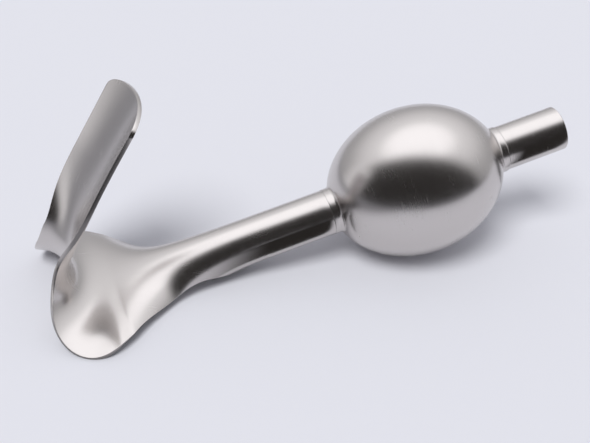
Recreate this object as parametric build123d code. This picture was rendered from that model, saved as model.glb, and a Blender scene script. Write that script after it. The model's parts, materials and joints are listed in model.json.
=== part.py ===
from build123d import *
import math
import os

# A weighted vaginal speculum in stainless steel. One sheet is pressed into a shallow blade, turned through a
# tight bend, spread into two wings and rolled up into a round handle. The handle carries a hollow ball, filled
# to make it heavy, and a drain tube runs on through the ball and ends as a short spout.
# All sizes are millimetres. While it is shaped, the handle's axis lies along +X with the ball's centre at the
# origin, and the blade stands up at the negative end. Last, it is tilted onto its wings and its ball.

# The sheet, and the round handle that it rolls into, whose wall is a little thicker than the stretched sheet
sheet_thickness = 1.6
tube_diameter = 19.5
tube_wall = 1.7
seam_gap = 1.0
handle_length = 94.4

# The bend and the blade, measured along the middle of the sheet
bend_radius = 10.7
blade_angle = 56.5
blade_bow = 5.0
blade_length = 71.0
tip_rounding = 7.8

# How far from the bend the handle is closed, and where its channel and its gullet lie
closed_reach = 62.0
channel_reach = 33.0
gullet_reach = 16.7

# How far from the bend the blade's shoulder lies, and the middle of its broad stretch
shoulder_reach = 14.0
broad_reach = 36.0

# The width of the flat sheet at each station, and the radius to which it is rolled there
channel_blank = 33.6
channel_roll = 11.1
gullet_blank = 42.6
gullet_roll = 21.1
throat_blank = 67.6
throat_roll = 107.0
wing_blank = 78.4
wing_roll = 133.0
lobe_blank = 83.4
lobe_roll = 68.5
heel_blank = 71.1
heel_roll = 34.5
ankle_blank = 48.1
ankle_roll = 19.5
root_blank = 40.4
root_roll = 16.4
shoulder_blank = 45.2
shoulder_roll = 23.4
broad_blank = 46.0
broad_roll = 32.1
tip_blank = 42.4
tip_roll = 48.6

# The ball, its shells and its filling
ball_diameter = 64.0
ball_length = 78.0
shell_thickness = 1.5
collar_height = 0.6
collar_length = 0.8
collar_fillet = 3.5
weld_clearance = 0.05
filling_clearance = 0.3

# The spout, from the ball's end to its own
spout_length = 29.7
spout_chamfer = 0.3

half_sheet = sheet_thickness / 2
tube_radius = tube_diameter / 2
middle_radius = tube_radius - tube_wall / 2
bore_radius = tube_radius - tube_wall
bend_start = -(ball_length / 2 + handle_length)
bend_turn = math.radians(180 - blade_angle)
bend_arc = bend_radius * bend_turn
tip_place = bend_arc + blade_length
seam_angle = (seam_gap + sheet_thickness) / middle_radius
closed_blank = middle_radius * (math.tau - seam_angle)
collar_radius = tube_radius + collar_height
spout_end = ball_length / 2 + spout_length

# Where the ball meets its collars, how steep it is there, and how far along a collar the flare between them reaches
meet_sine = 2 * collar_radius / ball_diameter
meet_cosine = math.sqrt(1 - meet_sine**2)
meet_place = ball_length / 2 * meet_cosine
meet_slope = math.atan2(ball_diameter * meet_cosine, ball_length * meet_sine)
joint_place = meet_place + collar_fillet * math.tan(meet_slope / 2) + collar_length

# Places are measured along the sheet from the start of the bend, positive towards the blade's tip
bend_fifth = bend_arc / 5
stations = [
    (-closed_reach, closed_blank, middle_radius),
    (-channel_reach, channel_blank, channel_roll),
    (-gullet_reach, gullet_blank, gullet_roll),
    (0, throat_blank, throat_roll),
    (bend_fifth, wing_blank, wing_roll),
    (2 * bend_fifth, lobe_blank, lobe_roll),
    (3 * bend_fifth, heel_blank, heel_roll),
    (4 * bend_fifth, ankle_blank, ankle_roll),
    (bend_arc, root_blank, root_roll),
    (bend_arc + shoulder_reach, shoulder_blank, shoulder_roll),
    (bend_arc + broad_reach, broad_blank, broad_roll),
    (tip_place, tip_blank, tip_roll),
]


def spine(place):
    """Middle line of the sheet at a place: x, z and the heading towards the tip."""
    if place <= 0:
        return bend_start - place, middle_radius, math.pi
    turned = min(place / bend_radius, bend_turn)
    x = bend_start - bend_radius * math.sin(turned)
    z = middle_radius + bend_radius * (1 - math.cos(turned))
    heading = math.pi - turned
    if place <= bend_arc:
        return x, z, heading
    bow_radius = blade_length / math.radians(blade_bow)
    leaned = heading - (place - bend_arc) / bow_radius
    x += bow_radius * (math.sin(heading) - math.sin(leaned))
    z += bow_radius * (math.cos(leaned) - math.cos(heading))
    return x, z, leaned


def fair_slopes(values):
    """Slopes at the stations that make one smooth curve: level at the handle, straight at the tip."""
    places = [station[0] for station in stations]
    last = len(values) - 1
    spans = [places[k + 1] - places[k] for k in range(last)]
    rises = [(values[k + 1] - values[k]) / spans[k] for k in range(last)]
    slopes = [0.0] * len(values)
    rounds = 60
    for _ in range(rounds):
        for k in range(1, last):
            before, after = spans[k - 1], spans[k]
            pull = 3 * (after * rises[k - 1] + before * rises[k])
            slopes[k] = (pull - after * slopes[k - 1] - before * slopes[k + 1]) / (2 * (before + after))
        slopes[last] = (3 * rises[last - 1] - slopes[last - 1]) / 2
    return slopes


blanks = [station[1] for station in stations]
roll_logs = [math.log(station[2]) for station in stations]
blank_slopes = fair_slopes(blanks)
roll_slopes = fair_slopes(roll_logs)


def blend(place, values, slopes):
    """Value at a place on the smooth curve through the stations."""
    k = max(i for i in range(len(stations) - 1) if stations[i][0] <= place)
    span = stations[k + 1][0] - stations[k][0]
    t = (place - stations[k][0]) / span
    ends = values[k] * (1 + 2 * t) * (1 - t) ** 2 + values[k + 1] * (3 - 2 * t) * t**2
    return ends + span * (slopes[k] * t * (1 - t) ** 2 - slopes[k + 1] * t**2 * (1 - t))


def rolled(place):
    """Radius to which the sheet is rolled at a place, and the half angle that it wraps."""
    radius = math.exp(blend(place, roll_logs, roll_slopes))
    return radius, blend(place, blanks, blank_slopes) / (2 * radius)


def section(place):
    """Cross-section of the sheet: an arc of even thickness with rounded rims, square to the middle line."""
    radius, wrap = rolled(place)

    def at(reach, angle):
        return reach * math.sin(angle), radius - reach * math.cos(angle)

    def arc(reach):
        return ThreePointArc(at(reach, -wrap), at(reach, 0), at(reach, wrap))

    def rim(side):
        y, n = at(radius, side * wrap)
        crown = y + side * half_sheet * math.cos(wrap), n + half_sheet * math.sin(wrap)
        return ThreePointArc(at(radius - half_sheet, side * wrap), crown, at(radius + half_sheet, side * wrap))

    x, z, heading = spine(place)
    plane = Plane(origin=(x, 0, z), x_dir=(0, 1, 0), z_dir=(math.cos(heading), 0, math.sin(heading)))
    edges = [arc(radius - half_sheet), rim(1), arc(radius + half_sheet), rim(-1)]
    return plane * make_face(edges)


def sheet_places():
    """Places of the sheet's cross-sections, closest together where its shape changes fastest."""
    channel_steps = 10
    bend_steps = 12
    blade_steps = 8
    places = [-closed_reach * (1 - i / channel_steps) for i in range(channel_steps)]
    places += [bend_arc * i / bend_steps for i in range(bend_steps)]
    places += [bend_arc + blade_length * i / blade_steps for i in range(blade_steps + 1)]
    return places


def rounded_tip():
    """What is cut away beyond the blade's rounded end."""
    x, z, heading = spine(tip_place)
    plane = Plane(origin=(x, 0, z), x_dir=(0, 1, 0), z_dir=(math.sin(heading), 0, -math.cos(heading)))
    waste = Pos(0, tip_blank / 2 - tip_rounding) * Rectangle(2 * tip_blank, tip_blank)
    waste -= Pos(0, -tip_rounding) * Ellipse(tip_blank / 2, tip_rounding)
    return extrude(plane * waste, amount=tip_blank, both=True)


def blade_and_channel():
    """The sheet: blade, bend, wings and channel lofted in one, fused with the round handle."""
    pressed = loft([section(place) for place in sheet_places()]) - rounded_tip()
    closed_end = bend_start + closed_reach
    ring = Circle(tube_radius) - Circle(bore_radius)
    handle = extrude(Plane(origin=(closed_end, 0, 0), z_dir=(1, 0, 0)) * ring, amount=-joint_place - closed_end)
    return pressed + handle


def ellipsoid(length, diameter):
    """Solid of an ellipse turned about X."""
    half = Ellipse(length / 2, diameter / 2) & Pos(0, diameter / 4) * Rectangle(length, diameter / 2)
    return revolve(Plane.XZ * half, axis=Axis.X)


def along_x(radius, start, end):
    """Round bar along X."""
    return extrude(Plane(origin=(start, 0, 0), z_dir=(1, 0, 0)) * Circle(radius), amount=end - start)


def hollow_ball():
    """Both shells as one: a ball whose ends flare into short collars round the tube."""
    outer = ellipsoid(ball_length, ball_diameter) + along_x(collar_radius, -joint_place, joint_place)
    flares = [edge for edge in outer.edges() if abs(abs(edge.center().X) - meet_place) < weld_clearance]
    outer = fillet(flares, collar_fillet)
    inner = ellipsoid(ball_length - 2 * shell_thickness, ball_diameter - 2 * shell_thickness)
    return outer - inner - along_x(tube_radius + weld_clearance, -ball_length, ball_length)


def half_of(solid, side):
    """The part of a solid on one side of the ball's girth."""
    reach = 2 * joint_place
    return solid & Pos(side * reach / 2, 0, 0) * Box(reach, 2 * ball_diameter, 2 * ball_diameter)


def ball_filling():
    """Heavy filling, clear of the shells and of the drain tube."""
    skin = 2 * (shell_thickness + filling_clearance)
    body = ellipsoid(ball_length - skin, ball_diameter - skin)
    return body - along_x(tube_radius + filling_clearance, -ball_length, ball_length)


def drain_tube():
    """Straight tube from the handle's end through the ball to the open spout."""
    tube = along_x(tube_radius, -joint_place, spout_end) - along_x(bore_radius, -joint_place, spout_end)
    mouth = tube.edges().filter_by(GeomType.CIRCLE).group_by(Axis.X)[-1]
    return chamfer(mouth, spout_chamfer)


def lowest_rims():
    """Undersides of a rim along the throat and the bend, as x and z."""
    steps = 60
    points = []
    for i in range(steps):
        place = bend_arc * i / steps - gullet_reach * (1 - i / steps)
        x, z, heading = spine(place)
        radius, wrap = rolled(place)
        depth = radius * (1 - math.cos(wrap))
        points.append((x - depth * math.sin(heading), z + depth * math.cos(heading) - half_sheet))
    return points


def table_depth(slope):
    """Depth below the ball's centre, straight down its own axis, of a table that the ball touches."""
    return math.hypot(ball_diameter / 2, slope * ball_length / 2)


def resting_slope():
    """Slope of the handle when the wings and the ball stand on one table."""
    rims = lowest_rims()
    low = 0.0
    high = 1.0
    halvings = 40
    for _ in range(halvings):
        slope = (low + high) / 2
        if min(z + slope * x for x, z in rims) + table_depth(slope) > 0:
            low = slope
        else:
            high = slope
    return slope


ball = hollow_ball()
pieces = {
    "blade_and_channel": blade_and_channel(),
    "ball_front_shell": half_of(ball, -1),
    "ball_rear_shell": half_of(ball, 1),
    "ball_filling": ball_filling(),
    "drain_tube": drain_tube(),
}

rise = resting_slope()
tilt = Rot(0, -math.degrees(math.atan(rise)), 0)
middle = Compound(children=[tilt * piece for piece in pieces.values()]).bounding_box().center()
stand = Pos(-middle.X, 0, table_depth(rise) * math.cos(math.atan(rise)))
os.makedirs("parts", exist_ok=True)
for name, piece in pieces.items():
    export_step(stand * tilt * piece, f"parts/{name}.step")
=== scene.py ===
"""Looks of a weighted speculum in satin stainless steel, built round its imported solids."""
from __future__ import annotations

import json
import logging
import math
from dataclasses import dataclass
from enum import Enum

import bmesh
import bpy
from mathutils import Matrix, Vector

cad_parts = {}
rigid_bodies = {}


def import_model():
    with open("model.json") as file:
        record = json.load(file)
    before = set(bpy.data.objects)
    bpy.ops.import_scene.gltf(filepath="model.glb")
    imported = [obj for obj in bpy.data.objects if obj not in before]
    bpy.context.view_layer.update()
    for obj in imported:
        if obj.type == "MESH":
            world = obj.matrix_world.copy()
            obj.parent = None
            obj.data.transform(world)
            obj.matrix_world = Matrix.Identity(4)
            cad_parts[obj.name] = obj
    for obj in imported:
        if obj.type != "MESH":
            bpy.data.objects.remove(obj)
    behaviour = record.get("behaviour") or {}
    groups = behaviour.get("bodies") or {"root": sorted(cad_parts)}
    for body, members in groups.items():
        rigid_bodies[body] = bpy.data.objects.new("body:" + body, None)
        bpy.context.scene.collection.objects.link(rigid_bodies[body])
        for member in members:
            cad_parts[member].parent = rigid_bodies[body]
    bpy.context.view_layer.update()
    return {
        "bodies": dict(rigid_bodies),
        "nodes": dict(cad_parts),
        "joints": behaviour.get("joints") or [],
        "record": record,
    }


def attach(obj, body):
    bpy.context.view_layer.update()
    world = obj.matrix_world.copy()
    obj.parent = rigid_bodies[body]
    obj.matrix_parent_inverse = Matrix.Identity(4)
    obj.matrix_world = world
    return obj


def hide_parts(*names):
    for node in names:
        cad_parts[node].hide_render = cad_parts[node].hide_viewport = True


LOG = logging.getLogger("speculum")
BODY = "root"
BLACK = (0.0, 0.0, 0.0)
Colour = tuple[float, float, float]
Point = tuple[float, float, float]


class Grain(Enum):
    """Which way the polishing marks run on a piece."""

    AROUND_HANDLE = "around the handle's axis"
    ALONG_SHEET = "along the sheet"


class End(Enum):
    """The two ends of the ball, as signs along its line."""

    HANDLE = -1
    SPOUT = 1


@dataclass(frozen=True)
class Fade:
    """A smooth change from one value to another.

    Attributes:
        start: Where it starts.
        end: Where it stops.
        low: The value up to start.
        high: The value from end.
    """

    start: float
    end: float
    low: float = 0.0
    high: float = 1.0


@dataclass(frozen=True)
class HandleLine:
    """The straight line on which the handle, the ball and the spout are strung.

    Attributes:
        ball_centre: Where the ball's middle lies, in metres.
        tilt_deg: How far the line climbs towards the spout.
    """

    ball_centre: Point = (0.0454926, 0.0, 0.0324422)
    tilt_deg: float = 13.8542

    def matrix(self) -> Matrix:
        """Matrix from the line's own X and Z, measured from the ball's centre, to the frame."""
        tilt = Matrix.Rotation(-math.radians(self.tilt_deg), 4, "Y")
        return Matrix.Translation(self.ball_centre) @ tilt


class Nodes:
    """A node tree that is filled one node at a time."""

    def __init__(self, tree: bpy.types.NodeTree) -> None:
        """Empties the tree and keeps it.

        Args:
            tree: The tree of a material, a world or a modifier.
        """
        self.tree = tree
        tree.nodes.clear()

    def add(self, kind: str, **settings: object) -> bpy.types.Node:
        """Adds a node.

        Args:
            kind: Blender's name of the node's type.
            **settings: Attributes of the node, by name.

        Returns:
            The new node.
        """
        node = self.tree.nodes.new(kind)
        for name, value in settings.items():
            setattr(node, name, value)
        return node

    def link(self, output: bpy.types.NodeSocket, target: bpy.types.NodeSocket) -> None:
        """Joins an output to an input."""
        self.tree.links.new(output, target)

    def fill(self, node: bpy.types.Node, values: dict[int | str, object]) -> bpy.types.Node:
        """Gives a node's inputs their values.

        Args:
            node: The node.
            values: A socket, a number or a vector for each input, by the input's number or name.

        Returns:
            The same node.
        """
        for key, value in values.items():
            if isinstance(value, bpy.types.NodeSocket):
                self.link(value, node.inputs[key])
            else:
                node.inputs[key].default_value = value
        return node

    def math(
        self,
        operation: str,
        a: bpy.types.NodeSocket | float,
        b: bpy.types.NodeSocket | float = 0.0,
    ) -> bpy.types.NodeSocket:
        """Works out one sum.

        Args:
            operation: Blender's name of the operation.
            a: A socket or a number.
            b: A socket or a number.

        Returns:
            The socket of the result.
        """
        node = self.add("ShaderNodeMath", operation=operation)
        return self.fill(node, {0: a, 1: b}).outputs[0]

    def vector(
        self,
        operation: str,
        a: bpy.types.NodeSocket,
        b: bpy.types.NodeSocket | Vector,
    ) -> bpy.types.Node:
        """Works out one sum of vectors.

        Args:
            operation: Blender's name of the operation.
            a: A socket.
            b: A socket or a vector.

        Returns:
            The new node.
        """
        return self.fill(self.add("ShaderNodeVectorMath", operation=operation), {0: a, 1: b})

    def scaled(
        self, vector: bpy.types.NodeSocket, scale: bpy.types.NodeSocket | float
    ) -> bpy.types.NodeSocket:
        """Makes a vector longer or shorter.

        Args:
            vector: The vector's socket.
            scale: A socket or a number.

        Returns:
            The socket of the result.
        """
        node = self.add("ShaderNodeVectorMath", operation="SCALE")
        return self.fill(node, {0: vector, "Scale": scale}).outputs["Vector"]

    def ramp(self, value: bpy.types.NodeSocket, fade: Fade) -> bpy.types.NodeSocket:
        """Maps a value smoothly from one range to another.

        Args:
            value: The socket to map.
            fade: How the result changes with it.

        Returns:
            The socket of the result.
        """
        node = self.add("ShaderNodeMapRange", interpolation_type="SMOOTHSTEP")
        self.fill(node, {"From Min": fade.start, "From Max": fade.end})
        self.fill(node, {"To Min": fade.low, "To Max": fade.high, "Value": value})
        return node.outputs["Result"]

    def noise(
        self, vector: bpy.types.NodeSocket, scale: float, detail: float
    ) -> bpy.types.NodeSocket:
        """Cloudy noise.

        Args:
            vector: Where it is read.
            scale: Its scale.
            detail: How many finer layers it has.

        Returns:
            The socket of its value, from 0 to 1.
        """
        node = self.add("ShaderNodeTexNoise")
        return self.fill(node, {"Scale": scale, "Detail": detail, "Vector": vector}).outputs["Fac"]

    def place(self) -> bpy.types.NodeSocket:
        """Reads where on the object a point lies."""
        return self.add("ShaderNodeTexCoord").outputs["Object"]

    def split(self, vector: bpy.types.NodeSocket) -> bpy.types.NodeOutputs:
        """Takes a vector apart.

        Args:
            vector: The vector's socket.

        Returns:
            The sockets of its X, Y and Z, by name.
        """
        return self.fill(self.add("ShaderNodeSeparateXYZ"), {"Vector": vector}).outputs

    def join(self, **parts: bpy.types.NodeSocket) -> bpy.types.NodeSocket:
        """Puts a vector together.

        Args:
            **parts: The sockets of its X, Y or Z, by name.

        Returns:
            The socket of the vector.
        """
        return self.fill(self.add("ShaderNodeCombineXYZ"), parts).outputs["Vector"]

    def attribute(self, name: str, kind: str = "FLOAT") -> bpy.types.NodeSocket:
        """Reads an attribute of a mesh.

        Args:
            name: The attribute's name.
            kind: Blender's name of its type.

        Returns:
            The socket of its value.
        """
        node = self.add("GeometryNodeInputNamedAttribute", data_type=kind)
        return self.fill(node, {"Name": name}).outputs["Attribute"]

    def shape(
        self, kind: str, values: dict[int | str, object], **settings: object
    ) -> bpy.types.NodeSocket:
        """Adds a node that changes a shape.

        Args:
            kind: Blender's name of the node's type.
            values: Its inputs, by name.
            **settings: Attributes of the node, by name.

        Returns:
            The socket of the changed shape.
        """
        return self.fill(self.add(kind, **settings), values).outputs["Geometry"]

    def background(
        self, colour: bpy.types.NodeSocket | Colour, strength: bpy.types.NodeSocket | float
    ) -> bpy.types.NodeSocket:
        """Lights up the surroundings.

        Args:
            colour: A socket or a colour.
            strength: A socket or a number.

        Returns:
            The socket of the light.
        """
        if not isinstance(colour, bpy.types.NodeSocket):
            colour = (*colour, 1.0)
        node = self.fill(self.add("ShaderNodeBackground"), {"Color": colour, "Strength": strength})
        return node.outputs["Background"]

    def mixed_colour(
        self, factor: bpy.types.NodeSocket, a: Colour, b: Colour
    ) -> bpy.types.NodeSocket:
        """Mixes two colours.

        Args:
            factor: The share of the second.
            a: The first colour.
            b: The second colour.

        Returns:
            The socket of the mixed colour.
        """
        node = self.add("ShaderNodeMix", data_type="RGBA")
        return self.fill(node, {"A": (*a, 1.0), "B": (*b, 1.0), "Factor": factor}).outputs["Result"]

    def mixed_shader(
        self, factor: bpy.types.NodeSocket, a: bpy.types.NodeSocket, b: bpy.types.NodeSocket
    ) -> bpy.types.NodeSocket:
        """Mixes two shaders.

        Args:
            factor: The share of the second.
            a: The first shader.
            b: The second shader.

        Returns:
            The socket of the mixed shader.
        """
        node = self.add("ShaderNodeMixShader")
        return self.fill(node, {"Fac": factor, 1: a, 2: b}).outputs["Shader"]

    def surface(self, shader: bpy.types.NodeSocket, kind: str = "ShaderNodeOutputMaterial") -> None:
        """Makes a shader the tree's result."""
        self.link(shader, self.add(kind).inputs["Surface"])


def new_material(name: str) -> tuple[bpy.types.Material, Nodes]:
    """Makes an empty material.

    Args:
        name: Its name.

    Returns:
        The material, and its node tree to fill.
    """
    material = bpy.data.materials.new(name)
    material.use_nodes = True
    return material, Nodes(material.node_tree)


def new_object(name: str, data: bpy.types.ID) -> bpy.types.Object:
    """Puts a new object in the scene.

    Args:
        name: Its name.
        data: Its mesh, lamp or camera.

    Returns:
        The new object.
    """
    thing = bpy.data.objects.new(name, data)
    bpy.context.scene.collection.objects.link(thing)
    return thing


def plain_copy(source: bpy.types.Object, name: str) -> bpy.types.Object:
    """Turns an object with modifiers into a plain mesh, and removes the object.

    Args:
        source: The object with its modifiers.
        name: The new piece's name.

    Returns:
        The new piece.
    """
    bpy.context.view_layer.update()
    evaluated = source.evaluated_get(bpy.context.evaluated_depsgraph_get())
    mesh = bpy.data.meshes.new_from_object(evaluated)
    mesh.name = name
    piece = new_object(name, mesh)
    bpy.data.objects.remove(source)
    return piece


@dataclass(frozen=True)
class SatinSteel:
    """Stainless steel with a fine satin polish.

    Attributes:
        name: The material's name.
        grain: Which way the polishing marks run.
        colour: The metal's own colour.
        roughness: Its middle roughness.
        swing: How much the marks, and the clouds of wear, each change the roughness.
        mark_height: How deep the marks look, in metres.
        mark_count: How many marks lie side by side in a metre.
        cloud_count: How many clouds of wear there are in a metre, and breaks along a mark.
        detail: How many finer layers the marks and the clouds have.
    """

    name: str
    grain: Grain = Grain.AROUND_HANDLE
    colour: Colour = (0.62, 0.588, 0.572)
    roughness: float = 0.25
    swing: float = 0.08
    mark_height: float = 0.0000022
    mark_count: float = 2400.0
    cloud_count: float = 90.0
    detail: float = 3.0

    def build(self, line: HandleLine) -> bpy.types.Material:
        """Makes the material.

        Args:
            line: The line that the marks run round or along.

        Returns:
            The new material.
        """
        material, nodes = new_material(self.name)
        rotation = (0.0, math.radians(line.tilt_deg), 0.0)
        turned = nodes.add("ShaderNodeMapping", vector_type="POINT")
        nodes.fill(turned, {"Rotation": rotation, "Vector": nodes.place()})
        if self.grain is Grain.AROUND_HANDLE:
            stretch = (self.mark_count, self.cloud_count, self.cloud_count)
        else:
            stretch = (self.cloud_count, self.mark_count, self.cloud_count)
        stretched = nodes.add("ShaderNodeMapping", vector_type="POINT")
        nodes.fill(stretched, {"Scale": stretch, "Vector": turned.outputs["Vector"]})
        marks = nodes.noise(stretched.outputs["Vector"], 1.0, self.detail)
        clouds = nodes.noise(turned.outputs["Vector"], self.cloud_count, self.detail)
        marked = nodes.math("MULTIPLY", marks, self.swing)
        worn = nodes.math("ADD", marked, nodes.math("MULTIPLY", clouds, self.swing))
        bump = nodes.add("ShaderNodeBump")
        nodes.fill(bump, {"Strength": 1.0, "Distance": self.mark_height, "Height": marks})
        shader = nodes.add("ShaderNodeBsdfPrincipled")
        looks = {
            "Base Color": (*self.colour, 1.0),
            "Metallic": 1.0,
            "Roughness": nodes.math("ADD", worn, self.roughness - self.swing),
            "Normal": bump.outputs["Normal"],
        }
        nodes.surface(nodes.fill(shader, looks).outputs["BSDF"])
        return material


@dataclass(frozen=True)
class PackedIron:
    """Coarse iron filling, out of sight inside the ball.

    Attributes:
        name: The material's name.
        colour: The iron's colour.
        grain_count: How many grains there are in a metre.
        detail: How many finer layers the grains have.
        roughness: How rough the grains are, from the hollows to the tops.
    """

    name: str = "packed_iron"
    colour: Colour = (0.12, 0.12, 0.125)
    grain_count: float = 900.0
    detail: float = 2.0
    roughness: Fade = Fade(0.3, 0.7, 0.45, 0.8)

    def build(self) -> bpy.types.Material:
        """Makes the material.

        Returns:
            The new material.
        """
        material, nodes = new_material(self.name)
        grains = nodes.noise(nodes.place(), self.grain_count, self.detail)
        looks = {
            "Base Color": (*self.colour, 1.0),
            "Metallic": 1.0,
            "Roughness": nodes.ramp(grains, self.roughness),
        }
        shader = nodes.fill(nodes.add("ShaderNodeBsdfPrincipled"), looks)
        nodes.surface(shader.outputs["BSDF"])
        return material


@dataclass(frozen=True)
class Station:
    """One place along the sheet where its shape is set.

    Attributes:
        place: How far it lies from the start of the bend, in metres, positive towards the tip.
        blank: The width of the flat sheet there.
        roll: The radius to which the sheet is rolled there.
        lift: How much shallower the section is than that roll, with its rims where they were.
    """

    place: float
    blank: float
    roll: float
    lift: float = 0.0


class SmoothRule:
    """A smooth curve through the values at the stations."""

    def __init__(self, places: list[float], values: list[float], rounds: int = 60) -> None:
        """Works out the slopes that join the values without a kink.

        Args:
            places: Where the stations lie.
            values: The value at each.
            rounds: How often the slopes are evened out, enough for them to settle.
        """
        self.places = places
        self.values = values
        last = len(values) - 1
        spans = [places[k + 1] - places[k] for k in range(last)]
        rises = [(values[k + 1] - values[k]) / spans[k] for k in range(last)]
        slopes = [0.0] * len(values)
        for _ in range(rounds):
            for k in range(1, last):
                before, after = spans[k - 1], spans[k]
                pull = 3 * (after * rises[k - 1] + before * rises[k])
                pull -= after * slopes[k - 1] + before * slopes[k + 1]
                slopes[k] = pull / (2 * (before + after))
            slopes[last] = (3 * rises[last - 1] - slopes[last - 1]) / 2
        self.slopes = slopes

    def at(self, place: float) -> float:
        """Reads the curve.

        Args:
            place: Where to read it; before the first station it keeps the first value.

        Returns:
            The value there.
        """
        if place <= self.places[0]:
            return self.values[0]
        k = max(i for i in range(len(self.places) - 1) if self.places[i] <= place)
        span = self.places[k + 1] - self.places[k]
        t = (place - self.places[k]) / span
        left = 1 - t
        ends = self.values[k] * (1 + 2 * t) * left**2 + self.values[k + 1] * (3 - 2 * t) * t**2
        return ends + span * (self.slopes[k] * t * left**2 - self.slopes[k + 1] * t**2 * left)


@dataclass
class PressedSheet:
    """The one sheet that is blade, bend, wings and round handle, rolled up by a node tree.

    Attributes:
        line: The line that the handle follows.
        thickness: The sheet's thickness, in metres.
        middle_radius: Radius of the handle's middle surface.
        bend_start: Where the bend starts, along the line from the ball's centre.
        bend_radius: Radius of the bend at the middle of the sheet.
        blade_angle_deg: Angle between the blade and the handle.
        blade_bow_deg: How far the blade leans over along its length.
        blade_length: Length of the blade beyond the bend.
        tip_rounding: How far back from the tip its rounded end reaches.
        tip_fade: Over how many times that reach the cross-sections take on the tip's outline.
        seam_closed: Where along the sheet the seam has closed.
        handle_end: Where along the sheet the handle ends.
        crown: How much of the thickness the rounded rims add to the sheet's width.
        crown_start: How much of it they add where the seam opens.
        crown_reach: Over how far they would add the whole thickness.
        rim_rounding: Width of the rims' rounding, as a share of the thickness.
        rim_steps: How many faces the rounding has.
        rim_angle_deg: How sharp an edge has to be to get it.
        seam_reach: How far apart the seam's two sides may lie to be welded.
        rows: How many cross-sections the handle, the channel, the bend and the blade have.
        columns: How many points a cross-section has.
        crowding: How much closer together these lie at the rims.
    """

    line: HandleLine
    thickness: float = 0.0016
    middle_radius: float = 0.00895
    bend_start: float = -0.1334
    bend_radius: float = 0.0107
    blade_angle_deg: float = 56.5
    blade_bow_deg: float = 5.0
    blade_length: float = 0.0704
    tip_rounding: float = 0.0078
    tip_fade: float = 3.0
    seam_closed: float = -0.064
    handle_end: float = -0.09337
    crown: float = 0.7
    crown_start: float = 0.3
    crown_reach: float = 0.004
    rim_rounding: float = 0.28
    rim_steps: int = 3
    rim_angle_deg: float = 50.0
    seam_reach: float = 0.00004
    rows: tuple[int, int, int, int] = (8, 70, 60, 80)
    columns: int = 97
    crowding: float = 0.4

    def __post_init__(self) -> None:
        """Sets the stations out along the handle, the bend and the blade."""
        self.bend_turn = math.pi - math.radians(self.blade_angle_deg)
        self.bend_arc = self.bend_radius * self.bend_turn
        self.tip_place = self.bend_arc + self.blade_length
        fifth = self.bend_arc / 5
        self.stations = [
            Station(self.seam_closed, math.tau * self.middle_radius, self.middle_radius),
            Station(-0.062, 0.0533, 0.0089),
            Station(-0.033, 0.0336, 0.0111),
            Station(-0.0167, 0.0426, 0.0211),
            Station(0.0, 0.0676, 0.107),
            Station(fifth, 0.0784, 0.133, 0.0005),
            Station(2 * fifth, 0.0834, 0.0685, 0.0025),
            Station(3 * fifth, 0.0711, 0.0345, 0.0045),
            Station(4 * fifth, 0.0496, 0.0206, 0.0048),
            Station(self.bend_arc, 0.0416, 0.0165, 0.0042),
            Station(self.bend_arc + 0.014, 0.0456, 0.0234, 0.0038),
            Station(self.bend_arc + 0.036, 0.0458, 0.0321, 0.0032),
            Station(self.tip_place, 0.0424, 0.0486, 0.0012),
        ]
        fair = self.stations[1:]
        places = [station.place for station in fair]
        self.blank_rule = SmoothRule(places, [station.blank for station in fair])
        self.roll_rule = SmoothRule(places, [math.log(station.roll) for station in fair])
        self.lift_rule = SmoothRule(places, [station.lift for station in fair])

    def spine(self, place: float) -> tuple[float, float, float]:
        """Follows the middle of the sheet.

        Args:
            place: How far along it.

        Returns:
            Distance along the line, height over it, and the heading towards the tip.
        """
        if place <= 0:
            return self.bend_start - place, self.middle_radius, math.pi
        turned = min(place / self.bend_radius, self.bend_turn)
        along = self.bend_start - self.bend_radius * math.sin(turned)
        height = self.middle_radius + self.bend_radius * (1 - math.cos(turned))
        heading = math.pi - turned
        if place <= self.bend_arc:
            return along, height, heading
        bow = self.blade_length / math.radians(self.blade_bow_deg)
        leaned = heading - (place - self.bend_arc) / bow
        along += bow * (math.sin(heading) - math.sin(leaned))
        height += bow * (math.cos(leaned) - math.cos(heading))
        return along, height, leaned

    def rolled(self, place: float) -> tuple[float, float, float]:
        """Works out one cross-section, with its rims where the rules of width and roll put them.

        Args:
            place: How far along the sheet.

        Returns:
            The width of the flat sheet, the half angle that it wraps, and its middle's lift.
        """
        closed, opened = self.stations[:2]
        if place <= opened.place:
            share = max(0.0, (place - closed.place) / (opened.place - closed.place))
            blank = closed.blank + (opened.blank - closed.blank) * share
            roll = closed.roll + (opened.roll - closed.roll) * share
            return blank, blank / (2 * roll), 0.0
        crown = min(self.crown, (place - opened.place) / self.crown_reach + self.crown_start)
        blank = self.blank_rule.at(place) + self.thickness * crown
        roll = math.exp(self.roll_rule.at(place))
        wrap = blank / (2 * roll)
        lift = max(self.lift_rule.at(place), 0.0) if place > 0 else 0.0
        if lift == 0.0:
            return blank, wrap, lift
        side, rise = roll * math.sin(wrap), roll * (1 - math.cos(wrap)) - lift
        wrap = 2 * math.atan2(rise, side)
        return 2 * side * wrap / math.sin(wrap), wrap, lift

    def places(self) -> list[float]:
        """Sets the cross-sections out.

        Returns:
            Their places, from the handle's end to the tip.
        """
        handle, channel, bend, blade = self.rows
        plain = self.seam_closed - self.handle_end
        found = [self.handle_end + plain * i / handle for i in range(handle)]
        found += [self.seam_closed * (1 - i / channel) for i in range(channel)]
        found += [self.bend_arc * i / bend for i in range(bend)]
        return found + [self.bend_arc + self.blade_length * i / blade for i in range(blade + 1)]

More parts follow.
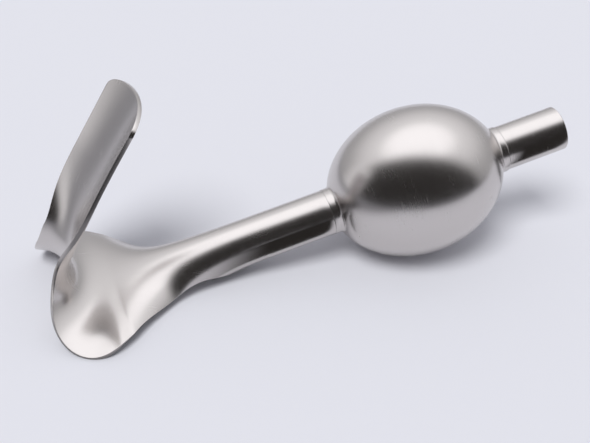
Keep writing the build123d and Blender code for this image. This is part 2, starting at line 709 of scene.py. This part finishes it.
    def blank_mesh(self) -> bpy.types.Mesh:
        """Lays the flat sheet out as a grid that carries the rule of each cross-section.

        Returns:
            A flat mesh with the attributes that the node tree rolls it up by.
        """
        frame = self.line.matrix()
        turn = frame.to_3x3()
        count = self.columns
        spread = [-1 + 2 * j / (count - 1) for j in range(count)]
        even = 1 - self.crowding
        across = [even * u + self.crowding * math.sin(math.pi / 2 * u) for u in spread]
        shares = [(across[min(j + 1, count - 1)] - across[max(j - 1, 0)]) / 2 for j in range(count)]
        names = ("across", "share", "half_blank", "wrap", "place", "row")
        values: dict[str, list[float]] = {name: [] for name in names}
        spines: list[float] = []
        normals: list[float] = []
        fade_from = self.tip_place - self.tip_fade * self.tip_rounding
        rows = self.places()
        for row, nominal in enumerate(rows):
            fade = max(0.0, (nominal - fade_from) / (self.tip_place - fade_from))
            for j in range(count):
                inset = self.tip_rounding * (1 - math.sqrt(max(0.0, 1 - across[j] ** 2)))
                place = nominal - fade**2 * inset
                if j == 0 or fade > 0.0:
                    blank, wrap, lift = self.rolled(place)
                x, z, heading = self.spine(place)
                normal = turn @ Vector((-math.sin(heading), 0.0, math.cos(heading)))
                spines.extend(frame @ Vector((x, 0.0, z)) + lift * normal)
                normals.extend(normal)
                rule = (across[j], shares[j], blank / 2, wrap, place, float(row))
                for name, value in zip(names, rule):
                    values[name].append(value)
        widths = [share * half for share, half in zip(values["across"], values["half_blank"])]
        points = [(width, place, 0.0) for width, place in zip(widths, values["place"])]
        faces = []
        for row in range(len(rows) - 1):
            for j in range(count - 1):
                corner = row * count + j
                faces.append((corner, corner + 1, corner + count + 1, corner + count))
        mesh = bpy.data.meshes.new("sheet_blank")
        mesh.from_pydata(points, [], faces)
        for name, numbers in values.items():
            mesh.attributes.new(name, "FLOAT", "POINT").data.foreach_set("value", numbers)
        for name, vectors in (("spine", spines), ("normal_way", normals)):
            mesh.attributes.new(name, "FLOAT_VECTOR", "POINT").data.foreach_set("vector", vectors)
        return mesh

    @staticmethod
    def section(nodes: Nodes, count: bpy.types.NodeSocket) -> bpy.types.NodeOutputs:
        """Adds up how far sideways and up from its middle each point of a cross-section lies.

        Args:
            nodes: The tree to build it in.
            count: The socket of the number of points across.

        Returns:
            The sockets of both, by the names X and Y.
        """
        turned = nodes.math("MULTIPLY", nodes.attribute("wrap"), nodes.attribute("across"))
        step = nodes.math("MULTIPLY", nodes.attribute("share"), nodes.attribute("half_blank"))
        way = nodes.join(
            X=nodes.math("MULTIPLY", nodes.math("COSINE", turned), step),
            Y=nodes.math("MULTIPLY", nodes.math("SINE", turned), step),
        )
        row = nodes.attribute("row")
        add_up = nodes.add("GeometryNodeAccumulateField", data_type="FLOAT_VECTOR", domain="POINT")
        nodes.fill(add_up, {"Value": way, "Group ID": row})
        both = nodes.vector("ADD", add_up.outputs["Leading"], add_up.outputs["Trailing"])
        reached = nodes.scaled(both.outputs["Vector"], 0.5)
        half_count = nodes.math("FLOOR", nodes.math("DIVIDE", count, 2.0))
        middle = nodes.math("ADD", nodes.math("MULTIPLY", row, count), half_count)
        centre = nodes.add("GeometryNodeFieldAtIndex", data_type="FLOAT_VECTOR", domain="POINT")
        nodes.fill(centre, {"Value": reached, "Index": middle})
        offset = nodes.vector("SUBTRACT", reached, centre.outputs["Value"])
        return nodes.split(offset.outputs["Vector"])

    def tree(self) -> bpy.types.NodeTree:
        """Builds the node tree that rolls the flat sheet up.

        Returns:
            The new tree.
        """
        tree = bpy.data.node_groups.new("roll_sheet", "GeometryNodeTree")
        face = tree.interface
        face.new_socket("Geometry", in_out="INPUT", socket_type="NodeSocketGeometry")
        face.new_socket("Points across", in_out="INPUT", socket_type="NodeSocketInt")
        face.new_socket("Seam reach", in_out="INPUT", socket_type="NodeSocketFloat")
        face.new_socket("Finish", in_out="INPUT", socket_type="NodeSocketMaterial")
        face.new_socket("Geometry", in_out="OUTPUT", socket_type="NodeSocketGeometry")
        nodes = Nodes(tree)
        given = nodes.add("NodeGroupInput").outputs
        offset = self.section(nodes, given["Points across"])
        upwards = nodes.scaled(nodes.attribute("normal_way", "FLOAT_VECTOR"), offset["Y"])
        rolled = nodes.vector("ADD", nodes.join(Y=offset["X"]), upwards).outputs["Vector"]
        placed = nodes.vector("ADD", rolled, nodes.attribute("spine", "FLOAT_VECTOR"))
        width = nodes.math("MULTIPLY", nodes.attribute("across"), nodes.attribute("half_blank"))
        flat_map = nodes.join(X=width, Y=nodes.attribute("place"))
        shape = nodes.shape(
            "GeometryNodeStoreNamedAttribute",
            {"Name": "flat_sheet", "Geometry": given["Geometry"], "Value": flat_map},
            data_type="FLOAT2",
            domain="CORNER",
        )
        for kind, values in (
            ("GeometryNodeSetPosition", {"Position": placed.outputs["Vector"]}),
            ("GeometryNodeMergeByDistance", {"Distance": given["Seam reach"]}),
            ("GeometryNodeSetShadeSmooth", {}),
            ("GeometryNodeRealizeInstances", {}),
            ("GeometryNodeSetMaterial", {"Material": given["Finish"]}),
        ):
            shape = nodes.shape(kind, {"Geometry": shape, **values})
        nodes.link(shape, nodes.add("NodeGroupOutput").inputs["Geometry"])
        return tree

    def build(self, finish: bpy.types.Material) -> bpy.types.Object:
        """Rolls the sheet up, gives it its thickness and rounds its rims.

        Args:
            finish: Its material.

        Returns:
            The finished piece.
        """
        blank = new_object("sheet_blank", self.blank_mesh())
        tree = self.tree()
        roller = blank.modifiers.new("roll", "NODES")
        roller.node_group = tree
        settings = {"Points across": self.columns, "Seam reach": self.seam_reach, "Finish": finish}
        for item in tree.interface.items_tree:
            if item.item_type == "SOCKET" and item.in_out == "INPUT" and item.name in settings:
                roller[item.identifier] = settings[item.name]
        solid = blank.modifiers.new("thickness", "SOLIDIFY")
        solid.thickness = self.thickness
        solid.offset = 0.0
        solid.use_even_offset = True
        rims = blank.modifiers.new("rims", "BEVEL")
        rims.width = self.thickness * self.rim_rounding
        rims.segments = self.rim_steps
        rims.limit_method = "ANGLE"
        rims.angle_limit = math.radians(self.rim_angle_deg)
        return plain_copy(blank, "pressed_sheet")


@dataclass
class TurnedShell:
    """One pressed half of the ball, turned from its profile, with its weld to the tube.

    Attributes:
        line: The line that it is turned round.
        name: The piece's name.
        side: The end of the ball that it closes.
        weld_height: How far the weld stands over the tube, in metres.
        length: The whole ball's length.
        diameter: The ball's diameter.
        wall: The shell's thickness.
        bore: Radius of the hole that the tube passes through.
        tube_radius: The tube's outer radius.
        weld_end: How far from the ball's centre the weld ends.
        weld_fillet: Radius of the hollow between the ball and the tube.
        toe_length: Least length of the weld beyond that hollow.
        toe_rounding: How far back its rounded end reaches.
        toe_drop: How much of the weld's wall the rounding takes.
        steps: How many faces the profile has along the ball.
        weld_steps: How many it has along the hollow.
        toe_steps: How many it has along the rounded end.
        turns: How many faces the shell has around.
        crease_deg: From which angle an edge shows.
        merge_reach: How close two points are made one.
    """

    line: HandleLine
    name: str
    side: End
    weld_height: float
    length: float = 0.078
    diameter: float = 0.064
    wall: float = 0.0015
    bore: float = 0.0098
    tube_radius: float = 0.00975
    weld_end: float = 0.0407
    weld_fillet: float = 0.0017
    toe_length: float = 0.0008
    toe_rounding: float = 0.0006
    toe_drop: float = 0.9
    steps: int = 64
    weld_steps: int = 14
    toe_steps: int = 6
    turns: int = 192
    crease_deg: float = 40.0
    merge_reach: float = 0.000005

    def weld_touch(self, weld: float, halvings: int = 40) -> float:
        """Finds where the weld's hollow leaves the ball.

        Args:
            weld: The weld's radius round the axis.
            halvings: How often the range of angles is halved.

        Returns:
            The angle on the ball, measured from its end.
        """
        low, high = 0.0, math.pi / 2
        for _ in range(halvings):
            angle = (low + high) / 2
            steep = math.hypot(math.cos(angle) * self.diameter, math.sin(angle) * self.length)
            out = self.diameter / 2 * math.sin(angle)
            out += self.weld_fillet * math.sin(angle) * self.length / steep
            if out < weld + self.weld_fillet:
                low = angle
            else:
                high = angle
        return low

    def profile(self) -> list[tuple[float, float]]:
        """Draws the shell's cut edge.

        Returns:
            Distances along the line and radii, in order round the edge.
        """
        weld = self.tube_radius + self.weld_height
        touch = self.weld_touch(weld)
        reach, radius, fillet = self.length / 2, self.diameter / 2, self.weld_fillet
        edge = []
        for i in range(self.steps + 1):
            angle = math.pi / 2 + (touch - math.pi / 2) * i / self.steps
            edge.append((reach * math.cos(angle), radius * math.sin(angle)))
        steep = math.hypot(math.cos(touch) * radius, math.sin(touch) * reach)
        outward = (math.cos(touch) * radius / steep, math.sin(touch) * reach / steep)
        middle = (edge[-1][0] + fillet * outward[0], edge[-1][1] + fillet * outward[1])
        start = math.atan2(-outward[1], -outward[0])
        for i in range(1, self.weld_steps + 1):
            angle = start + (-math.pi / 2 - start) * i / self.weld_steps
            along, height = fillet * math.cos(angle), fillet * math.sin(angle)
            edge.append((middle[0] + along, middle[1] + height))
        toe = max(self.weld_end, edge[-1][0] + self.toe_length)
        drop = (weld - self.bore) * self.toe_drop
        for i in range(1, self.toe_steps + 1):
            angle = math.pi / 2 * i / self.toe_steps
            back = self.toe_rounding * (1 - math.sin(angle))
            edge.append((toe - back, weld - drop * (1 - math.cos(angle))))
        edge.append((toe, self.bore))
        inner_reach, inner_radius = reach - self.wall, radius - self.wall
        start = math.asin(self.bore / inner_radius)
        for i in range(self.steps + 1):
            angle = start + (math.pi / 2 - start) * i / self.steps
            edge.append((inner_reach * math.cos(angle), inner_radius * math.sin(angle)))
        return edge

    def build(self, finish: bpy.types.Material) -> bpy.types.Object:
        """Turns the shell.

        Args:
            finish: Its material.

        Returns:
            The finished piece.
        """
        edge = self.profile()
        mesh = bpy.data.meshes.new("shell_profile")
        points = [(self.side.value * along, 0.0, radius) for along, radius in edge]
        links = [(i, (i + 1) % len(edge)) for i in range(len(edge))]
        mesh.from_pydata(points, links, [])
        mesh.materials.append(finish)
        outline = new_object("shell_profile", mesh)
        turned = outline.modifiers.new("turned", "SCREW")
        turned.axis = "X"
        turned.steps = turned.render_steps = self.turns
        turned.use_merge_vertices = True
        turned.merge_threshold = self.merge_reach
        piece = plain_copy(outline, self.name)
        shape = bmesh.new()
        shape.from_mesh(piece.data)
        shape.transform(self.line.matrix())
        bmesh.ops.recalc_face_normals(shape, faces=shape.faces)
        shape.to_mesh(piece.data)
        shape.free()
        piece.data.shade_smooth()
        piece.data.set_sharp_from_angle(angle=math.radians(self.crease_deg))
        return piece


@dataclass(frozen=True)
class Camera:
    """The camera that took the picture.

    Attributes:
        target: The point that it looks at, in metres.
        azimuth_deg: Which way it looks, from +Y towards +X.
        drop_deg: How far it looks down.
        roll_deg: How far it is rolled.
        distance: How far it stands from the target.
        focal_mm: Its focal length.
        sensor_mm: Its sensor's width.
        clip_start: How close to it things may come.
    """

    target: Point = (-0.014467, -0.01557, 0.032)
    azimuth_deg: float = 20.81
    drop_deg: float = 34.76
    roll_deg: float = 3.288
    distance: float = 0.4234
    focal_mm: float = 64.07
    sensor_mm: float = 36.0
    clip_start: float = 0.01

    def build(self) -> bpy.types.Object:
        """Makes the camera and has the scene use it.

        Returns:
            The camera.
        """
        angles = (self.azimuth_deg, self.drop_deg, self.roll_deg)
        turn, drop, roll = (math.radians(angle) for angle in angles)
        level = math.cos(drop)
        ahead = Vector((math.sin(turn) * level, math.cos(turn) * level, -math.sin(drop)))
        right = ahead.cross(Vector((0.0, 0.0, 1.0))).normalized()
        up = right.cross(ahead)
        rolled_right = math.cos(roll) * right + math.sin(roll) * up
        rolled_up = math.cos(roll) * up - math.sin(roll) * right
        data = bpy.data.cameras.new("camera")
        data.lens = self.focal_mm
        data.sensor_width = self.sensor_mm
        data.sensor_fit = "HORIZONTAL"
        data.clip_start = self.clip_start
        camera = new_object("camera", data)
        turned = Matrix((rolled_right, rolled_up, -ahead)).transposed().to_4x4()
        stand = Vector(self.target) - self.distance * ahead
        camera.matrix_world = Matrix.Translation(stand) @ turned
        bpy.context.scene.camera = camera
        return camera


@dataclass(frozen=True)
class Room:
    """The room round the table: plain and pale to the camera, half lit and half dark to the steel.

    Attributes:
        pale: The colour that the camera sees, and that lights the table.
        wall: The colour of the lit side.
        dark: The colour of the unlit side.
        lit_from: The direction in which the lit side lies.
        edge: How the lit side begins, over the cosine from lit_from.
        left_wall: How a lit wall begins at the far left, over the leftward part of the direction.
        left_wall_front: How that wall begins, over the backward part of the direction.
        haze: How bright the lit side is, over the upward part of the direction.
        glow: What is added to that overhead.
        left_glow: What is added to it at the far left.
        fill_level: How strongly the room lights the table.
    """

    pale: Colour = (0.80, 0.805, 0.855)
    wall: Colour = (0.965, 0.97, 1.0)
    dark: Colour = (0.03, 0.028, 0.027)
    lit_from: Point = (0.45, 1.0, 0.4)
    edge: Fade = Fade(-0.18, 0.15)
    left_wall: Fade = Fade(0.7, 0.92)
    left_wall_front: Fade = Fade(-0.2, 0.1)
    haze: Fade = Fade(0.1, 0.8, 0.5, 1.05)
    glow: Fade = Fade(0.74, 0.9, 0.0, 0.55)
    left_glow: Fade = Fade(0.72, 0.95, 0.0, 0.45)
    fill_level: float = 0.5

    def build(self) -> bpy.types.World:
        """Makes the room and has the scene use it.

        Returns:
            The world that holds it.
        """
        world = bpy.data.worlds.new("studio")
        bpy.context.scene.world = world
        world.use_nodes = True
        nodes = Nodes(world.node_tree)
        way = nodes.add("ShaderNodeTexCoord").outputs["Generated"]
        parts = nodes.split(way)
        leftward = nodes.math("MULTIPLY", parts["X"], -1.0)
        turned = nodes.vector("DOT_PRODUCT", way, Vector(self.lit_from).normalized())
        beside = nodes.ramp(leftward, self.left_wall)
        left_wall = nodes.math("MULTIPLY", beside, nodes.ramp(parts["Y"], self.left_wall_front))
        lit = nodes.math("MAXIMUM", nodes.ramp(turned.outputs["Value"], self.edge), left_wall)
        haze = nodes.ramp(parts["Z"], self.haze)
        above = nodes.math("ADD", haze, nodes.ramp(parts["Z"], self.glow))
        level = nodes.math("ADD", above, nodes.ramp(leftward, self.left_glow))
        unlit = nodes.math("SUBTRACT", 1.0, lit)
        strength = nodes.math("ADD", nodes.math("MULTIPLY", lit, level), unlit)
        mirrored = nodes.background(nodes.mixed_colour(lit, self.dark, self.wall), strength)
        fill = nodes.background(self.pale, self.fill_level)
        ray = nodes.add("ShaderNodeLightPath").outputs
        lighting = nodes.mixed_shader(ray["Is Diffuse Ray"], mirrored, fill)
        seen = nodes.mixed_shader(ray["Is Camera Ray"], lighting, nodes.background(self.pale, 1.0))
        nodes.surface(seen, "ShaderNodeOutputWorld")
        return world


@dataclass(frozen=True)
class TableTop:
    """A pale matt table top, parts of which carry a painted dark reflection: black to the steel's
    reflections, pale to the camera.

    Attributes:
        colour: Its colour.
        size: Its width, in metres.
        front: How the painted dark part in front of the object ends towards the back.
        front_left: How strongly that part is painted dark, from left to right.
        left: How the painted dark part at the left ends, from left to right.
        near: How the painted dark part towards the camera ends towards the back.
    """

    colour: Colour = (0.80, 0.805, 0.855)
    size: float = 8.0
    front: Fade = Fade(-0.04, 0.02, 1.0, 0.0)
    front_left: Fade = Fade(-0.13, -0.02, 0.68, 0.0)
    left: Fade = Fade(-0.3, -0.12, 0.6, 0.0)
    near: Fade = Fade(-0.31, -0.26, 0.96, 0.0)

    def finish(self) -> bpy.types.Material:
        """Makes the matt finish, with a painted dark reflection in its colour for glossy rays.

        Returns:
            The new material.
        """
        material, nodes = new_material("pale_table")
        parts = nodes.split(nodes.place())
        front = nodes.ramp(parts["Y"], self.front)
        front_left = nodes.math("MULTIPLY", front, nodes.ramp(parts["X"], self.front_left))
        shade = nodes.math("MAXIMUM", front_left, nodes.ramp(parts["X"], self.left))
        shade = nodes.math("MAXIMUM", shade, nodes.ramp(parts["Y"], self.near))
        # Painted dark reflection: these parts turn black for glossy rays only, so the steel mirrors
        # them as unlit while the camera sees them pale.
        glossy = nodes.add("ShaderNodeLightPath").outputs["Is Glossy Ray"]
        unlit = nodes.math("MULTIPLY", shade, glossy)
        shader = nodes.add("ShaderNodeBsdfDiffuse")
        nodes.fill(shader, {"Color": nodes.mixed_colour(unlit, self.colour, BLACK)})
        nodes.surface(shader.outputs["BSDF"])
        return material

    def build(self) -> bpy.types.Object:
        """Makes the table top.

        Returns:
            The table top.
        """
        half = self.size / 2
        mesh = bpy.data.meshes.new("table")
        corners = [(-half, -half, 0.0), (half, -half, 0.0), (half, half, 0.0), (-half, half, 0.0)]
        mesh.from_pydata(corners, [], [(0, 1, 2, 3)])
        mesh.materials.append(self.finish())
        table = new_object("table", mesh)
        return table


@dataclass(frozen=True)
class Softbox:
    """The soft light that casts the shadows.

    Attributes:
        level: How strong it is.
        width_deg: How wide it is.
        way: Which way it shines.
    """

    level: float = 1.9
    width_deg: float = 28.0
    way: Point = (0.29, 0.29, -0.69)

    def build(self) -> bpy.types.Object:
        """Makes the light, which the steel doesn't mirror.

        Returns:
            The lamp.
        """
        data = bpy.data.lights.new("softbox", "SUN")
        data.energy = self.level
        data.angle = math.radians(self.width_deg)
        lamp = new_object("softbox", data)
        lamp.rotation_euler = Vector(self.way).to_track_quat("-Z", "Y").to_euler()
        lamp.visible_glossy = False
        return lamp


@dataclass(frozen=True)
class DarkStrip:
    """A dark strip in front of a tube that paints a dark reflection on the tube's lower half; only
    the steel's reflections see it.

    Attributes:
        name: The strip's name.
        start: Where along the tube's line it starts, in metres.
        end: Where it ends.
        drop: How far below the line it reaches.
        fade_in: Over how far it thins out to gauze at its start.
        fade_out: Over how far it does at its end.
        colour: Its colour.
        distance: How far in front of the line it stands.
        top: How far over the line it reaches.
    """

    name: str
    start: float
    end: float
    drop: float
    fade_in: float
    fade_out: float
    colour: Colour = (0.03, 0.028, 0.027)
    distance: float = 0.0125
    top: float = 0.0027

    def finish(self, frame: Matrix) -> bpy.types.Material:
        """Makes the painted dark reflection, dark in its middle and thinned out at its ends.

        Args:
            frame: The matrix of the tube's line.

        Returns:
            The new material.
        """
        material, nodes = new_material(self.name)
        start, end = ((frame @ Vector((along, 0.0, 0.0))).x for along in (self.start, self.end))
        along = nodes.split(nodes.place())["X"]
        rising = nodes.ramp(along, Fade(start, start + self.fade_in))
        falling = nodes.ramp(along, Fade(end - self.fade_out, end, 1.0, 0.0))
        dark = nodes.fill(nodes.add("ShaderNodeEmission"), {"Color": (*self.colour, 1.0)})
        gauze = nodes.add("ShaderNodeBsdfTransparent")
        dense = nodes.math("MULTIPLY", rising, falling)
        nodes.surface(nodes.mixed_shader(dense, gauze.outputs["BSDF"], dark.outputs["Emission"]))
        return material

    def build(self, line: HandleLine) -> bpy.types.Object:
        """Stands the strip beside its tube.

        Args:
            line: The line that the tube follows.

        Returns:
            The strip.
        """
        frame = line.matrix()
        mesh = bpy.data.meshes.new(self.name)
        low, high = -self.drop, self.top
        corners = ((self.start, low), (self.end, low), (self.end, high), (self.start, high))
        points = [frame @ Vector((along, -self.distance, height)) for along, height in corners]
        mesh.from_pydata(points, [], [(0, 1, 2, 3)])
        mesh.materials.append(self.finish(frame))
        strip = new_object(self.name, mesh)
        # Seen by glossy rays only: a painted dark reflection on the tube, not a card that blocks
        # any light.
        strip.visible_camera = strip.visible_diffuse = False
        strip.visible_shadow = strip.visible_transmission = False
        return strip


@dataclass(frozen=True)
class Studio:
    """Pale table, pale room with a dark side behind the camera, and a soft light overhead.

    Attributes:
        room: The room.
        table: The table top.
        softbox: The soft light.
        strips: The dark strips along the handle and the spout, which paint dark reflections on
            their lower halves.
    """

    room: Room = Room()
    table: TableTop = TableTop()
    softbox: Softbox = Softbox()
    strips: tuple[DarkStrip, ...] = (
        DarkStrip("handle_painted_reflection", -0.106, -0.0385, 0.016, 0.036, 0.004),
        DarkStrip("spout_painted_reflection", 0.0412, 0.0725, 0.014, 0.008, 0.003),
    )

    def build(self, line: HandleLine) -> None:
        """Sets the whole studio up.

        Args:
            line: The line that the handle and the spout follow.
        """
        bpy.context.scene.view_settings.view_transform = "Standard"
        self.room.build()
        self.table.build()
        self.softbox.build()
        for strip in self.strips:
            strip.build(line)


@dataclass
class Instrument:
    """The speculum's pieces and their finishes.

    Attributes:
        line: The line on which they are strung.
        front_weld: How far the weld on the handle stands over it, in metres.
        rear_weld: How far the weld on the spout stands over it.
    """

    line: HandleLine
    front_weld: float = 0.00015
    rear_weld: float = 0.0004

    def dress(self, nodes: dict[str, bpy.types.Object]) -> None:
        """Builds the pieces that replace solids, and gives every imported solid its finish.

        Args:
            nodes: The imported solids, by name.
        """
        tube = SatinSteel("satin_tube").build(self.line)
        ball = SatinSteel("satin_ball").build(self.line)
        sheet = SatinSteel("satin_sheet", Grain.ALONG_SHEET).build(self.line)
        iron = PackedIron().build()
        front = TurnedShell(self.line, "front_shell", End.HANDLE, self.front_weld)
        rear = TurnedShell(self.line, "rear_shell", End.SPOUT, self.rear_weld)
        pieces = {
            "blade_and_channel": PressedSheet(self.line).build(sheet),
            "ball_front_shell": front.build(ball),
            "ball_rear_shell": rear.build(ball),
        }
        for name, piece in pieces.items():
            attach(piece, BODY)
            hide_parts(name)
            LOG.info("%s: %d faces", piece.name, len(piece.data.polygons))
        finishes = {
            "blade_and_channel": sheet,
            "ball_front_shell": ball,
            "ball_rear_shell": ball,
            "ball_filling": iron,
            "drain_tube": tube,
        }
        for name, finish in finishes.items():
            nodes[name].material_slots[0].material = finish
            LOG.info("%s: %s", name, finish.name)


def main() -> None:
    """Builds the scene in order."""
    logging.basicConfig(level=logging.INFO, format="%(message)s")
    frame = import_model()
    line = HandleLine()
    Camera().build()
    Studio().build(line)
    Instrument(line).dress(frame["nodes"])


if __name__ == "__main__":
    main()
